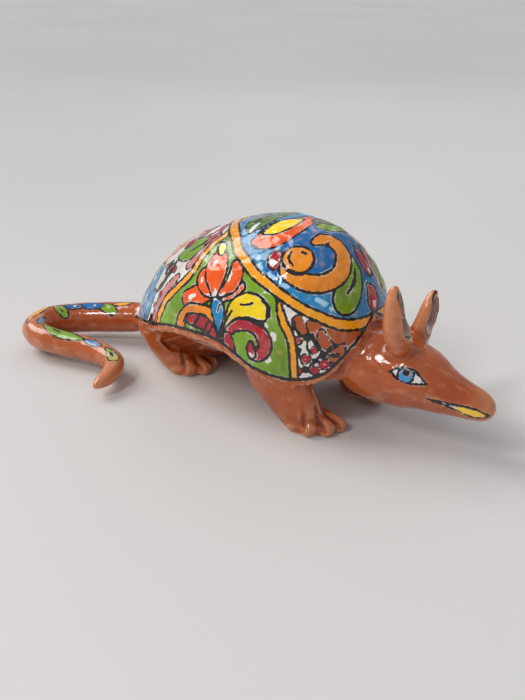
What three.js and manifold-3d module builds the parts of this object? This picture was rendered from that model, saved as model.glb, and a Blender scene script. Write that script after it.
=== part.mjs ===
// Glazed pottery armadillo, 0.32 m long, built as the potter's separate clay pieces.
// Millimetres. +X to the head, +Y to the animal's left, +Z up, soles on Z = 0.
import * as THREE from 'three';
import { mergeVertices } from 'three/addons/utils/BufferGeometryUtils.js';
import Module from 'manifold-3d';

const wasm = await Module();
wasm.setup();

// ---- driving dimensions ----
const GAP = 0.5; // slip joint between two clay pieces
const WALL = 4; // wall of the carapace and of the belly
const LAP = 6; // how far the belly wall stands up behind the carapace's rim

// The trunk is a domed oval, widest at a level that sinks from the flanks to the rump.
const TRUNK_MIDDLE_X = -4;
const TRUNK_HALF_LENGTH = 93;
const TRUNK_HALF_WIDTH = 54;
const TOP_Z = 113;
const FLANK_LEVEL = 40;
const RUMP_LEVEL = 19;
const RUMP_START_X = -28;
const RUMP_END_X = -92;
const DOME_LEAN = 34; // the dome's top lies this far towards the head
const RUMP_NARROWING = 0.2; // share of the width lost at the tail end
const PLAN_POWER = 2.4; // 2 is an ellipse, more is squarer
const SHOULDER_POWER = 1.7; // fullness of the dome over the shoulders: 1 is a cone, 2 is round
const FLANK_POWER = 1.95; // the same over the flanks
const RUMP_POWER = 1.65; // the same over the rump
const UNDERSIDE_POWER = 3.5;
const UNDERSIDE_DEPTH = 28; // how far the flanks would reach below the widest level
const BELLY_DEPTH = 12; // of the belly's curve across
const BELLY_EDGE = 3; // how far above the widest level that curve starts

// Height of the carapace's rim, from the neck (turn 0) to the tail (turn 1).
const RIM_HEIGHTS = [64, 52, 36, 31, 34, 45, 43, 34, 29, 22, 16, 14];

const RIM_RADIUS = 22; // an offset along the rim's skin, as an angle of the trunk

const VENT_RADIUS = 5.5;
const VENT_X = 0;
const NECK_PORT_RADIUS = 11;
const NECK_PORT_Z = 45;

// Stations of the swept pieces: centre, then half width and half height of the section.
const HEAD = [
  { at: [70, 0, 42], wide: 25, high: 20 },
  { at: [88, 0, 40], wide: 23, high: 21.5 },
  { at: [104, 0, 39.5], wide: 21, high: 20.5 },
  { at: [118, 0, 39], wide: 18.5, high: 18 },
  { at: [131, 0, 36.5], wide: 14.5, high: 13 },
  { at: [143, 0, 35.5], wide: 11, high: 10 },
  { at: [153, 0, 34.5], wide: 8.8, high: 8.5 },
  { at: [161.5, 0, 34], wide: 7, high: 6.5 },
];
const TAIL = [
  { at: [-84, -5, 20], wide: 12, high: 12 },
  { at: [-99, -10.5, 18], wide: 11.5, high: 11.5 },
  { at: [-119, -21, 16], wide: 11, high: 11 },
  { at: [-137, -35, 15], wide: 10.5, high: 10.5 },
  { at: [-149, -50, 14.5], wide: 10, high: 10 },
  { at: [-146, -64, 14], wide: 9.5, high: 9.5 },
  { at: [-131, -69, 13.5], wide: 9, high: 9 },
  { at: [-114, -65, 13], wide: 8.5, high: 8.5 },
  { at: [-97, -60, 12.5], wide: 8, high: 8 },
  { at: [-81, -58, 12], wide: 7.5, high: 7.5 },
  { at: [-68, -61, 11.5], wide: 7, high: 7 },
  { at: [-60, -71, 10.5], wide: 6.5, high: 6.5 },
  { at: [-56, -88, 9], wide: 6, high: 6 },
];
// The ears are set by hand, the left one lower and leaning forward.
const EARS = {
  right: [
    { at: [109, -7, 54], wide: 5, high: 4.5 },
    { at: [109.5, -12.5, 63], wide: 7, high: 5.5 },
    { at: [109.5, -17, 73], wide: 7.8, high: 4.5 },
    { at: [109.5, -19.5, 85], wide: 5.8, high: 3.5 },
    { at: [109, -21.5, 97.5], wide: 1.8, high: 1.8 },
  ],
  left: [
    { at: [102, 9, 44], wide: 5.5, high: 5 },
    { at: [105, 13.5, 53], wide: 7, high: 5.5 },
    { at: [108, 17, 63], wide: 8.2, high: 4.5 },
    { at: [109.5, 19, 73], wide: 6.2, high: 3.5 },
    { at: [110, 21, 83], wide: 1.8, high: 1.8 },
  ],
};
const EAR_SCOOP = { forward: 4.2, scale: 0.8, rise: 5 };

const FRONT_LEG = [
  { at: [31, 30, 46], wide: 21, high: 13 },
  { at: [43, 33, 32], wide: 20, high: 13 },
  { at: [53, 32, 18], wide: 16.5, high: 11.5 },
  { at: [61, 29, 4], wide: 13.5, high: 10.5 },
  { at: [63, 28, -8], wide: 11, high: 9.5 },
];
const FRONT_TOES = [[62, 40], [73, 37], [81, 28], [83, 18.5]];
const FRONT_ANKLE = [57, 29];
const HIND_LEG = [
  { at: [-58, 27, 38], wide: 19, high: 14 },
  { at: [-56, 29, 27], wide: 16.5, high: 12.5 },
  { at: [-50, 26.5, 14], wide: 12.5, high: 11 },
  { at: [-43, 23, 3], wide: 10, high: 9.5 },
  { at: [-41, 21.5, -7], wide: 9, high: 8.5 },
];
const HIND_TOES = [[-40, 33], [-31, 28], [-24.5, 18], [-27, 8]];
const HIND_ANKLE = [-46, 22];
const TOE_HALF_WIDTH = 5.2;
const TOE_HEIGHT = 8.5;
const TOE_HEEL_HEIGHT = 18;

const AROUND_TRUNK = 48;
const ROWS_TRUNK = 20;
const AROUND_HEAD = 24;
const ROWS_HEAD = 20;
const AROUND_LIMB = 16;
const ROWS_LIMB = 14;
const ROWS_TAIL = 34;
const AROUND_TOE = 10;
const ROWS_TOE = 8;
const BLUNTNESS = 9; // how square the rounded ends of a swept piece are

const UP = new THREE.Vector3(0, 0, 1);
const TERRACOTTA = 0xb4501f;
const GLAZE = { roughness: 0.15, metalness: 0 };

// ---- closed bodies ----

// Moves each vertex of a sphere's grid to place(turn, along) and closes the seam.
// turn runs once around, 0 to 2 pi; along runs from the first pole, 0, to the second, 1.
function moulded(around, rows, place) {
  const geometry = new THREE.SphereGeometry(1, around, rows);
  const grid = geometry.attributes.uv;
  const points = geometry.attributes.position;
  for (let i = 0; i < points.count; i += 1) {
    const row = Math.round((1 - grid.getY(i)) * rows);
    const column = row === 0 || row === rows ? 0 : Math.round(grid.getX(i) * around) % around;
    const point = place((2 * Math.PI * column) / around, row / rows);
    points.setXYZ(i, point.x, point.y, point.z);
  }
  geometry.deleteAttribute('normal');
  geometry.deleteAttribute('uv');
  return mergeVertices(geometry, 1e-4);
}

// A smooth curve through the stations, and its section at each place along it.
function spine(stations) {
  return {
    path: new THREE.CatmullRomCurve3(stations.map((s) => new THREE.Vector3(...s.at))),
    section: new THREE.CatmullRomCurve3(stations.map((s) => new THREE.Vector3(s.wide, s.high, 0))),
  };
}

// An oval section swept along the stations, with rounded ends. up is the section's high side.
function swept(stations, up, around, rows, grow = 0) {
  const { path, section } = spine(stations);
  return moulded(around, rows, (turn, along) => {
    const where = (1 - Math.cos(Math.PI * along)) / 2;
    const ahead = path.getTangent(where);
    const side = new THREE.Vector3().crossVectors(ahead, up).normalize();
    const above = new THREE.Vector3().crossVectors(side, ahead);
    const size = section.getPoint(where);
    const rounding = Math.sqrt(1 - Math.abs(2 * where - 1) ** BLUNTNESS);
    const end = ahead.multiplyScalar(grow * (2 * where - 1));
    return path.getPoint(where).add(end)
      .addScaledVector(side, (size.x + grow) * rounding * Math.cos(turn))
      .addScaledVector(above, (size.y + grow) * rounding * Math.sin(turn));
  });
}

// ---- joining and cutting ----

function solid(geometry) {
  const vertProperties = new Float32Array(geometry.attributes.position.array);
  const triVerts = new Uint32Array(geometry.index.array);
  return new wasm.Manifold(new wasm.Mesh({ numProp: 3, vertProperties, triVerts }));
}

function geometryOf(body) {
  const mesh = body.getMesh();
  const geometry = new THREE.BufferGeometry();
  geometry.setAttribute('position', new THREE.BufferAttribute(mesh.vertProperties, 3));
  geometry.setIndex(new THREE.BufferAttribute(mesh.triVerts, 1));
  return geometry;
}

// The biggest of the bodies that a cut leaves.
function largest(body) {
  return body.decompose().reduce((kept, other) => (other.volume() > kept.volume() ? other : kept));
}

function clean(geometry) {
  geometry.deleteAttribute('normal');
  geometry.deleteAttribute('uv');
  return mergeVertices(geometry, 1e-4);
}

// ---- the trunk's surface ----

function signedPower(value, power) {
  return Math.sign(value) * Math.abs(value) ** power;
}

// The height at which the trunk is widest.
function widestLevel(x) {
  const rump = THREE.MathUtils.smoothstep(-x, -RUMP_START_X, -RUMP_END_X);
  return THREE.MathUtils.lerp(FLANK_LEVEL, RUMP_LEVEL, rump);
}

// A point of the trunk's surface. turn is the bearing from the head, tilt the angle from the
// top (0) to the underside (pi), and inset how far inside the outer surface it lies.
function trunkPoint(turn, tilt, inset) {
  const upper = tilt <= Math.PI / 2;
  const endPower = Math.cos(turn) > 0 ? SHOULDER_POWER : RUMP_POWER;
  const domePower = THREE.MathUtils.lerp(FLANK_POWER, endPower, Math.cos(turn) ** 2);
  const power = upper ? domePower : UNDERSIDE_POWER;
  const height = signedPower(Math.cos(tilt), 2 / power);
  const reach = Math.abs(Math.sin(tilt)) ** (2 / power);
  const forward = signedPower(Math.cos(turn), 2 / PLAN_POWER) * reach;
  const narrowing = 1 - RUMP_NARROWING * THREE.MathUtils.smoothstep(-forward, 0, 1);
  const sideways = signedPower(Math.sin(turn), 2 / PLAN_POWER) * reach * narrowing;
  const lean = upper ? DOME_LEAN * height ** 1.5 : 0;
  const x = TRUNK_MIDDLE_X + lean + forward * (TRUNK_HALF_LENGTH - inset);
  const y = sideways * (TRUNK_HALF_WIDTH - inset);
  const level = widestLevel(x);
  const half = upper ? TOP_Z - level : UNDERSIDE_DEPTH;
  return new THREE.Vector3(x, y, level + height * (half - inset));
}

// Height of the carapace's rim at a bearing, the same on both flanks.
function rimHeight(turn) {
  const share = Math.acos(Math.cos(turn)) / Math.PI;
  const heights = RIM_HEIGHTS.map((z, i) => new THREE.Vector3(i, z, 0));
  return new THREE.CatmullRomCurve3(heights, false, 'catmullrom').getPoint(share).y;
}

// The tilt at which the trunk's surface reaches height z, found by halving.
function tiltAt(turn, z, inset) {
  let low = 0;
  let high = Math.PI;
  for (let i = 0; i < 40; i += 1) {
    const middle = (low + high) / 2;
    if (trunkPoint(turn, middle, inset).z > z) low = middle;
    else high = middle;
  }
  return (low + high) / 2;
}

// ---- sub-parts ----

// The painted dome: an outer skin down to the rim, and an inner skin back to the top.
function carapaceGeometry(grow = 0) {
  return moulded(AROUND_TRUNK, ROWS_TRUNK, (turn, along) => {
    const outside = along <= 0.5;
    const inset = outside ? -grow : WALL + grow;
    const edge = tiltAt(turn, rimHeight(turn), outside ? 0 : WALL) + grow / RIM_RADIUS;
    const share = outside ? 2 * along : 2 - 2 * along;
    return trunkPoint(turn, share * edge, inset);
  });
}

// Keeps a point of the trunk above the rounded belly, lift above the belly's own surface.
function rounded(point, lift) {
  const slope = (point.y / TRUNK_HALF_WIDTH) ** 2;
  const belly = widestLevel(point.x) + BELLY_EDGE - BELLY_DEPTH * (1 - slope);
  point.z = Math.max(point.z, belly + lift);
  return point;
}

// The trunk as one lump, a slip joint larger than the belly, to cut its neighbours with.
function trunkLump() {
  return moulded(AROUND_TRUNK, ROWS_TRUNK, (turn, along) => (
    rounded(trunkPoint(turn, along * Math.PI, WALL), -GAP)));
}

// How high the belly's wall stands behind the carapace.
function wallTop(turn) {
  const flank = widestLevel(trunkPoint(turn, Math.PI / 2, 0).x);
  return Math.max(rimHeight(turn), flank) + LAP;
}

// The bowl under the carapace, open to the head, with the vent that a closed pot needs.
function bellyGeometry() {
  const bowl = moulded(AROUND_TRUNK, ROWS_TRUNK, (turn, along) => {
    const outside = along >= 0.5;
    const inset = outside ? WALL + GAP : 2 * WALL + GAP;
    const edge = tiltAt(turn, wallTop(turn), inset);
    const share = outside ? 2 - 2 * along : 2 * along;
    return rounded(trunkPoint(turn, Math.PI - share * (Math.PI - edge), inset), outside ? 0 : WALL);
  });
  const vent = new THREE.CylinderGeometry(VENT_RADIUS, VENT_RADIUS, FLANK_LEVEL, AROUND_LIMB);
  vent.rotateX(Math.PI / 2).translate(VENT_X, 0, FLANK_LEVEL - BELLY_DEPTH);
  const port = new THREE.CylinderGeometry(NECK_PORT_RADIUS, NECK_PORT_RADIUS, TRUNK_HALF_LENGTH, AROUND_LIMB);
  port.rotateZ(Math.PI / 2).translate(TRUNK_HALF_LENGTH, 0, NECK_PORT_Z);
  return geometryOf(solid(bowl).subtract(solid(clean(vent))).subtract(solid(clean(port))));
}

// The hollow head and neck, open where they meet the trunk.
function headGeometry(cutter) {
  const outside = solid(swept(HEAD, UP, AROUND_HEAD, ROWS_HEAD));
  const hollow = solid(swept(HEAD.slice(0, -2), UP, AROUND_HEAD, ROWS_HEAD, -WALL));
  return geometryOf(largest(outside.subtract(hollow).subtract(cutter)));
}

function earGeometry(stations) {
  const scoopStations = stations.slice(1).map((s) => ({
    at: [s.at[0] + EAR_SCOOP.forward, s.at[1], s.at[2] + EAR_SCOOP.rise],
    wide: s.wide * EAR_SCOOP.scale,
    high: s.high * EAR_SCOOP.scale,
  }));
  const facing = new THREE.Vector3(1, 0, 0);
  const leaf = solid(swept(stations, facing, AROUND_LIMB, ROWS_LIMB));
  const scoop = solid(swept(scoopStations, facing, AROUND_LIMB, ROWS_LIMB));
  const skull = solid(swept(HEAD, UP, AROUND_HEAD, ROWS_HEAD, GAP));
  return geometryOf(largest(leaf.subtract(scoop).subtract(skull)));
}

// One toe: an egg from the ankle to its tip, low at the tip.
function toe(ankle, tip, side) {
  const stations = [
    { at: [ankle[0], ankle[1] * side, TOE_HEEL_HEIGHT / 2], wide: TOE_HALF_WIDTH, high: TOE_HEEL_HEIGHT / 2 },
    { at: [tip[0], tip[1] * side, TOE_HEIGHT / 3], wide: TOE_HALF_WIDTH, high: TOE_HEIGHT / 2 },
  ];
  return solid(swept(stations, UP, AROUND_TOE, ROWS_TOE));
}

// A leg from the shoulder or the hip down to the sole, its four toes joined on.
function legGeometry(stations, ankle, tips, side, cutter) {
  const placed = stations.map((s) => ({ ...s, at: [s.at[0], s.at[1] * side, s.at[2]] }));
  const limb = solid(swept(placed, new THREE.Vector3(0, 1, 0), AROUND_LIMB, ROWS_LIMB));
  const paw = tips.reduce((body, tip) => body.add(toe(ankle, tip, side)), limb);
  const ground = new THREE.BoxGeometry(400, 400, 50).translate(0, 0, -25);
  return geometryOf(largest(paw.subtract(solid(clean(ground))).subtract(cutter)));
}

function tailGeometry(cutter) {
  const coil = swept(TAIL, UP, AROUND_LIMB, ROWS_TAIL);
  return geometryOf(largest(solid(coil).subtract(cutter)));
}

// ---- assembly ----

function piece(name, geometry, colour = TERRACOTTA) {
  const mesh = new THREE.Mesh(geometry, new THREE.MeshStandardMaterial({ color: colour, ...GLAZE }));
  mesh.name = name;
  return mesh;
}

const trunk = solid(trunkLump()).add(solid(carapaceGeometry(GAP)));
const armadillo = new THREE.Group();
armadillo.add(piece('carapace', carapaceGeometry(), 0xd8862a));
armadillo.add(piece('belly', bellyGeometry()));
armadillo.add(piece('head', headGeometry(trunk)));
armadillo.add(piece('tail', tailGeometry(trunk)));
for (const [side, name] of [[1, 'left'], [-1, 'right']]) {
  armadillo.add(piece(`ear_${name}`, earGeometry(EARS[name])));
  armadillo.add(piece(`leg_front_${name}`, legGeometry(FRONT_LEG, FRONT_ANKLE, FRONT_TOES, side, trunk)));
  armadillo.add(piece(`leg_hind_${name}`, legGeometry(HIND_LEG, HIND_ANKLE, HIND_TOES, side, trunk)));
}

// The origin is under the middle of the whole figure.
const extent = new THREE.Box3().setFromObject(armadillo);
const middle = extent.getCenter(new THREE.Vector3());
armadillo.position.set(-middle.x, -middle.y, -extent.min.z);

export default armadillo;
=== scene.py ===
"""Glazed pottery armadillo with a painted shell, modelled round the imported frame.

The clay is thrown and swept in millimetres in the potter's own frame: +X to the head,
+Y to the animal's left, +Z up, soles at 0. ROW_SHIFT carries it to the frame of the model.
"""
import math

import bmesh
import bpy
import numpy as np
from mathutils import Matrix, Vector, noise


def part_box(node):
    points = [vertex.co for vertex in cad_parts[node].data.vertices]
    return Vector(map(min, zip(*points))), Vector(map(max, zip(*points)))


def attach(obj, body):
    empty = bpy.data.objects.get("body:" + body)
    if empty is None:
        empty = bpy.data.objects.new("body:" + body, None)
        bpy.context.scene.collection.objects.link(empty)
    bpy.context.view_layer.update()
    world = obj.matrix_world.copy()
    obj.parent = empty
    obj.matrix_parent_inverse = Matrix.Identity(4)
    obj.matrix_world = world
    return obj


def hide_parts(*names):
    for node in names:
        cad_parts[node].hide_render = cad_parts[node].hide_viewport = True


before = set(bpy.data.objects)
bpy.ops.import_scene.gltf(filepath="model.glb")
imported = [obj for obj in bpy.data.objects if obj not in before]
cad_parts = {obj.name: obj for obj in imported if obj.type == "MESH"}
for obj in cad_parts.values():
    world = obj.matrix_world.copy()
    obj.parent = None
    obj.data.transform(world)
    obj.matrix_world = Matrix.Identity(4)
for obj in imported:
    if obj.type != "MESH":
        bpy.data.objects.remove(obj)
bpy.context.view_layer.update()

bl_info = {
    "name": "Painted Pottery Armadillo",
    "version": (1, 0, 0),
    "blender": (4, 5, 0),
    "location": "View3D > Sidebar > Pottery",
    "description": "Builds a glazed pottery armadillo with a brush-painted shell",
    "category": "Add Mesh",
}

MM = 0.001
BODY = "root"
PAINTED = "painted_glaze"
TERRACOTTA = "terracotta_glaze"

# ---- the clay's sizes, in millimetres ----
TRUNK_MIDDLE_X = -4
HALF_LENGTH = 93
HALF_WIDTH = 54
TOP_Z = 113
FLANK_LEVEL = 40
RUMP_LEVEL = 19
RUMP_START = 28
RUMP_END = 92
DOME_LEAN = 34
RUMP_NARROWING = 0.2
PLAN_POWER = 2.4
SHOULDER_POWER = 1.7
FLANK_POWER = 1.95
RUMP_POWER = 1.65
UNDERSIDE_POWER = 3.5
UNDERSIDE_DEPTH = 28
BELLY_DEPTH = 12
BELLY_EDGE = 3
LIP = 4.5  # how far the belly stands back under the shell's edge
SHELL_WALL = 4
WALL_EDGE = 0.02  # how much less tilt the wall's inside starts from
RIM_HEIGHTS = [64, 52, 36, 31, 34, 45, 43, 34, 29, 22, 16, 14]
BLUNTNESS = 9

# Stations: x, y, z, half width, half height.
HEAD = [
    (70, 0, 42, 25, 20),
    (88, 0, 40, 23, 21.5),
    (104, 0, 39.5, 21, 20.5),
    (118, 0, 39, 18.5, 18),
    (131, 0, 36.5, 14.5, 13),
    (143, 0, 35.5, 11, 10),
    (153, 0, 34.5, 8.8, 8.5),
    (161.5, 0, 34, 7, 6.5),
]
TAIL = [
    (-84, -5, 20, 12, 12),
    (-99, -10.5, 18, 11.5, 11.5),
    (-119, -21, 16, 11, 11),
    (-137, -35, 15, 10.5, 10.5),
    (-149, -50, 14.5, 10, 10),
    (-146, -64, 14, 9.5, 9.5),
    (-131, -69, 13.5, 9, 9),
    (-114, -65, 13, 8.5, 8.5),
    (-97, -60, 12.5, 8, 8),
    (-81, -58, 12, 7.5, 7.5),
    (-68, -61, 11.5, 7, 7),
    (-60, -71, 10.5, 6.5, 6.5),
    (-56, -88, 9, 6, 6),
]
EAR_RIGHT = [
    (109, -7, 54, 5, 4.5),
    (109.5, -12.5, 63, 7.6, 6.4),
    (109.5, -16.5, 73, 8.6, 6.8),
    (109.5, -19, 85, 7.4, 5.8),
    (109, -21.5, 97.5, 3.2, 3.0),
]
EAR_LEFT = [
    (102, 9, 44, 5.5, 5),
    (105, 13.5, 53, 7, 5.8),
    (108, 17, 63, 8.8, 5.6),
    (109.5, 19, 73, 7.4, 4.8),
    (110, 21, 83, 3.0, 2.6),
]
# Bearing of each ear's opening within its section, in degrees from the animal's left.
EAR_RIGHT_OPENING = 57
EAR_LEFT_OPENING = 80
EAR_MOUTH = 47  # half the angle that the opening takes up
EAR_HOLLOW = 0.8
FRONT_LEG = [
    (31, 30, 46, 21, 13),
    (43, 33, 32, 20, 13),
    (53, 32, 18, 16.5, 11.5),
    (61, 29, 4, 13.5, 10.5),
    (63, 28, -8, 11, 9.5),
]
FRONT_TOES = [(62, 40), (73, 37), (81, 28), (83, 18.5)]
FRONT_ANKLE = (57, 29)
HIND_LEG = [
    (-58, 27, 38, 19, 14),
    (-56, 29, 27, 16.5, 12.5),
    (-50, 26.5, 14, 12.5, 11),
    (-43, 23, 3, 10, 9.5),
    (-41, 21.5, -7, 9, 8.5),
]
HIND_TOES = [(-40, 33), (-31, 28), (-24.5, 18), (-27, 8)]
HIND_ANKLE = (-46, 22)
TOE_HALF_WIDTH = 5.2
TOE_HEIGHT = 8.5
TOE_HEEL_HEIGHT = 18
TOE_CUT_DEPTH = 1.1
TOE_CUT_WIDTH = 1.4
TOE_CUT_REACH = 1.1  # as a share of the way from the ankle to between the toes' tips
TOE_CUT_START = (0.2, 0.8)  # the shares of that way between which the cut deepens
TOE_CUT_FADE = (12, 22)  # the heights between which it fades out
SOLE_FACING = -0.2  # skin that faces further down than this is not cut

# ---- how the clay is wiped and marked ----
TOE_LEVEL = 13  # the toes below this height are left crisp
EARS_FROM_X = 95
EARS_FROM_Z = 64
FILL, FILL_TOES, FILL_EARS = 0.75, 0.04, 0.02
WEAR, WEAR_EARS = 0.06, 0.01
CREASE = 0.012  # how far in from its neighbours a point lies to be filled
SHELL_MARK_SIZE = 6.5
CLAY_MARK_SIZE = 14
POOL_DEPTH = 0.5  # how deep a crease is to hold the most glaze
POOL_PASSES = 12  # how often the clay is wiped to find its creases

# ---- where the clay is cut into pieces ----
# An ear's seam is a place on it and the way out.
EAR_RIGHT_SEAM = ((109.5, -12, 61.5), (0, -0.47, 0.88))
EAR_LEFT_SEAM = ((106.5, 15.5, 58), (0.25, 0.33, 0.91))
SHELL_FRONT_X = 95
SHELL_LAP = 0.6
HEAD_BACK_X = 87
HEAD_BOTTOM = 12
FRONT_LEG_TOP = 29
PAW_BACK_X = 69  # the paw ahead of this is no higher than PAW_TOP
PAW_TOP = 12
HIND_LEG_FRONT_X = -5
HIND_SEAM_X = (-78, -25)  # the hind leg's seam rises between these
HIND_SEAM_Z = (8, 27)
TAIL_ROOT_X = -75
TAIL_ROOT_LAP = 0.8
CURL_X = -45  # the tail's curl lies behind this and to the right of CURL_Y
CURL_Y = -47

# ---- the painter's colours, as light ----
COLOURS = {
    "terracotta": (0.45, 0.088, 0.015),
    "orange": (0.95, 0.37, 0.006),
    "amber": (0.88, 0.27, 0.005),
    "cobalt": (0.004, 0.125, 0.37),
    "sky": (0.008, 0.23, 0.50),
    # pale blue of the painted reflections of the lamps on the blue glaze
    "pale_sky": (0.36, 0.66, 0.86),
    "leaf": (0.185, 0.365, 0.012),
    "moss": (0.070, 0.17, 0.022),
    "yellow": (0.97, 0.69, 0.004),
    "flame": (0.90, 0.100, 0.002),
    "crimson": (0.44, 0.004, 0.026),
    "rose": (0.62, 0.20, 0.20),
    "white": (0.80, 0.76, 0.72),
    "black": (0.010, 0.009, 0.010),
    "ear_brown": (0.34, 0.17, 0.12),
    "iris": (0.05, 0.30, 0.60),
}

# Tints of the glaze, as light, and each finish's brush strokes and ground.
THICK_TINT = (0.62, 0.50, 0.46)
THIN_TINT = (1.0, 0.72, 0.45)
POOL_TINT = (0.34, 0.24, 0.22)
THIN_EDGE = (0.86, 0.42, 0.20)
BARE_CLAY = (0.62, 0.42, 0.30)
BRUSHED = {
    PAINTED: ((1.0, 1.0, 0.35), (0.74, 0.68, 0.60)),
    TERRACOTTA: ((0.4, 1.0, 0.8), (0.72, 0.36, 0.20)),
}

# ---- the painter's marks ----
# On the shell a place is turn, tilt, half width: degrees round from the head, degrees down
# from the crown, millimetres. The right flank is painted as listed.
BAND_FRONT = [
    (180, 28, 3.2), (118, 28, 3.2), (103, 32, 3.0), (94, 37, 3.0), (88, 41, 3.0),
    (80, 46, 2.9), (70, 50, 2.9), (60, 54, 2.6), (49, 58, 2.6), (38, 61, 2.7),
    (26, 64, 3.0), (12, 65, 3.0), (0, 65, 3.0),
]
BAND_REAR = [
    (180, 24, 2.0), (150, 24, 2.0), (127, 27, 2.2), (118, 32, 2.3), (112, 40, 2.2), (108, 47, 2.2),
    (104, 56, 2.3), (105, 64, 2.3), (107, 72, 2.4), (108, 80, 2.4), (108, 94, 2.4),
]
BAND_SHOULDER = [(63, 55, 1.0), (58, 64, 2.2), (52, 72, 2.2), (49, 82, 2.2), (47, 100, 2.2)]
DEEP_BLUE_TURN = 75  # the crown is a deeper blue within this turn and this tilt
DEEP_BLUE_TILT = 47
RIM_LINE_WIDENING = 0.35
FINE, FINER = 0.15, 0.3  # how much thinner the lines are, on each side, on crowded places
BERRY_LIGHT = 0.12  # half width of a berry's light, a white dot that is partly a painted highlight, as a share of the berry's
EAR_PAINT = (0.50, 0.88)  # how far up the ear its inside is painted
EAR_PAINT_OUT = 0.55  # where the brush's middle runs, as a share of the ear's depth
EAR_PAINT_WIDTH = 0.72
FACE_FROM_X = 92
TAIL_PAINT_FROM_X = -96
SHELL_PAINT_UNDER = 2  # how far the shell's paint goes on under its edge
SHELL_PAINT_DEPTH = 3

# A table has one mark to a line: a colour, or ~ and a colour for a wash that has no outline,
# or line, light or berry. Its places follow, parted by commas, and a line that ends with a
# comma goes on in the next. A light is a white mark, partly white paint and partly a painted
# highlight that stands for the glaze's reflections.
FLANK = """
flame 97 67 5, 94 64.5 6.2, 91.5 63 4.2, 89 62 1.6
flame 98.5 53 2.8, 96 56.5 5, 92.5 60 3.8, 90 62 1.6
flame 82 54 2.8, 83.5 57.5 3.6, 86 61 2.6, 88 63 1.2
flame 89.5 44.5 2.8, 87 49 4.6, 86 54 4.6, 87.5 60 2.2
flame 100 42 4, 97 46 7, 94 50.5 7.8, 91 56 5, 89 62 1.8
yellow 109 36 0.5, 104 38.5 3, 101 40.5 2.4
amber 95 84 3.6, 95 76 3.8, 94 72 3.4, 91 70 2.8, 88 70 3, 84 74 2.8, 82 80 2.2
crimson 92.6 76 2.8, 90 75.6 3.9, 87 76 3.9, 84.8 78 3.4, 83 81 2.2
sky 88 64 2.4, 86.2 66.5 4.6, 84.5 70 4, 83 75 1.8, 82 79 0.5
yellow 80 80 1.2, 80 73 1.6, 80 68 3, 79 64 5.4, 75 62 7.6, 71 62 6.4, 67 65 2.5
crimson 79 76 2.4, 77 72.5 3, 74 70.5 3.6, 70 70 3.8, 66 72 3.8, 63 76 4, 62.5 80 3.8,
  64.5 83.5 3.2, 67 84 2.4
crimson 78.5 78 2.6, 77 81.5 3.4, 75.5 84 2.4
crimson 68.5 78 1.2, 68 81 2.6, 67 83.5 2.4
line 93.5 74 0, 94 78 0
line 90 73.5 0, 90.5 79 0
line 87 74 0, 87.5 80 0
line 85 75.5 0, 86 82 0
line 80.5 66 0, 81 72 0, 81.5 79 0
line 78 62 0, 75 61 0, 73.5 60 0
line 86 65 0, 85.5 68 0
line 70 57.5 0.1, 66 60 0.3, 64 64 0
line 77 68.5 0.2, 73 67.5 0.5, 68 68.5 0.4, 66 69 0.9
light 98 46 1.3, 97.5 48 0.9
light 90 46.5 0.6, 88.5 51 1.3, 88 53 0.7
light 97 56 1, 96 57.5 0.8
light 96 66 1.7, 95 64.5 1.2
light 88.8 62 2.2, 89.5 60 1
light 89 62 1.2, 93 62.5 0.3
light 88 61 1, 90.8 57.5 0.3
light 87.5 61.5 1, 86.4 58.5 0.3
light 88 62 1, 91.5 60 0.3
light 85.5 63 1, 86 60.5 0.3
light 67.6 83.6 1.3, 67 84.2 1
light 60 72 2, 59.5 73.5 1.6
light 60 84 1.9, 60.4 85 1.4
light 68 66.5 1, 64 68.5 1.2
"""
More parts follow.
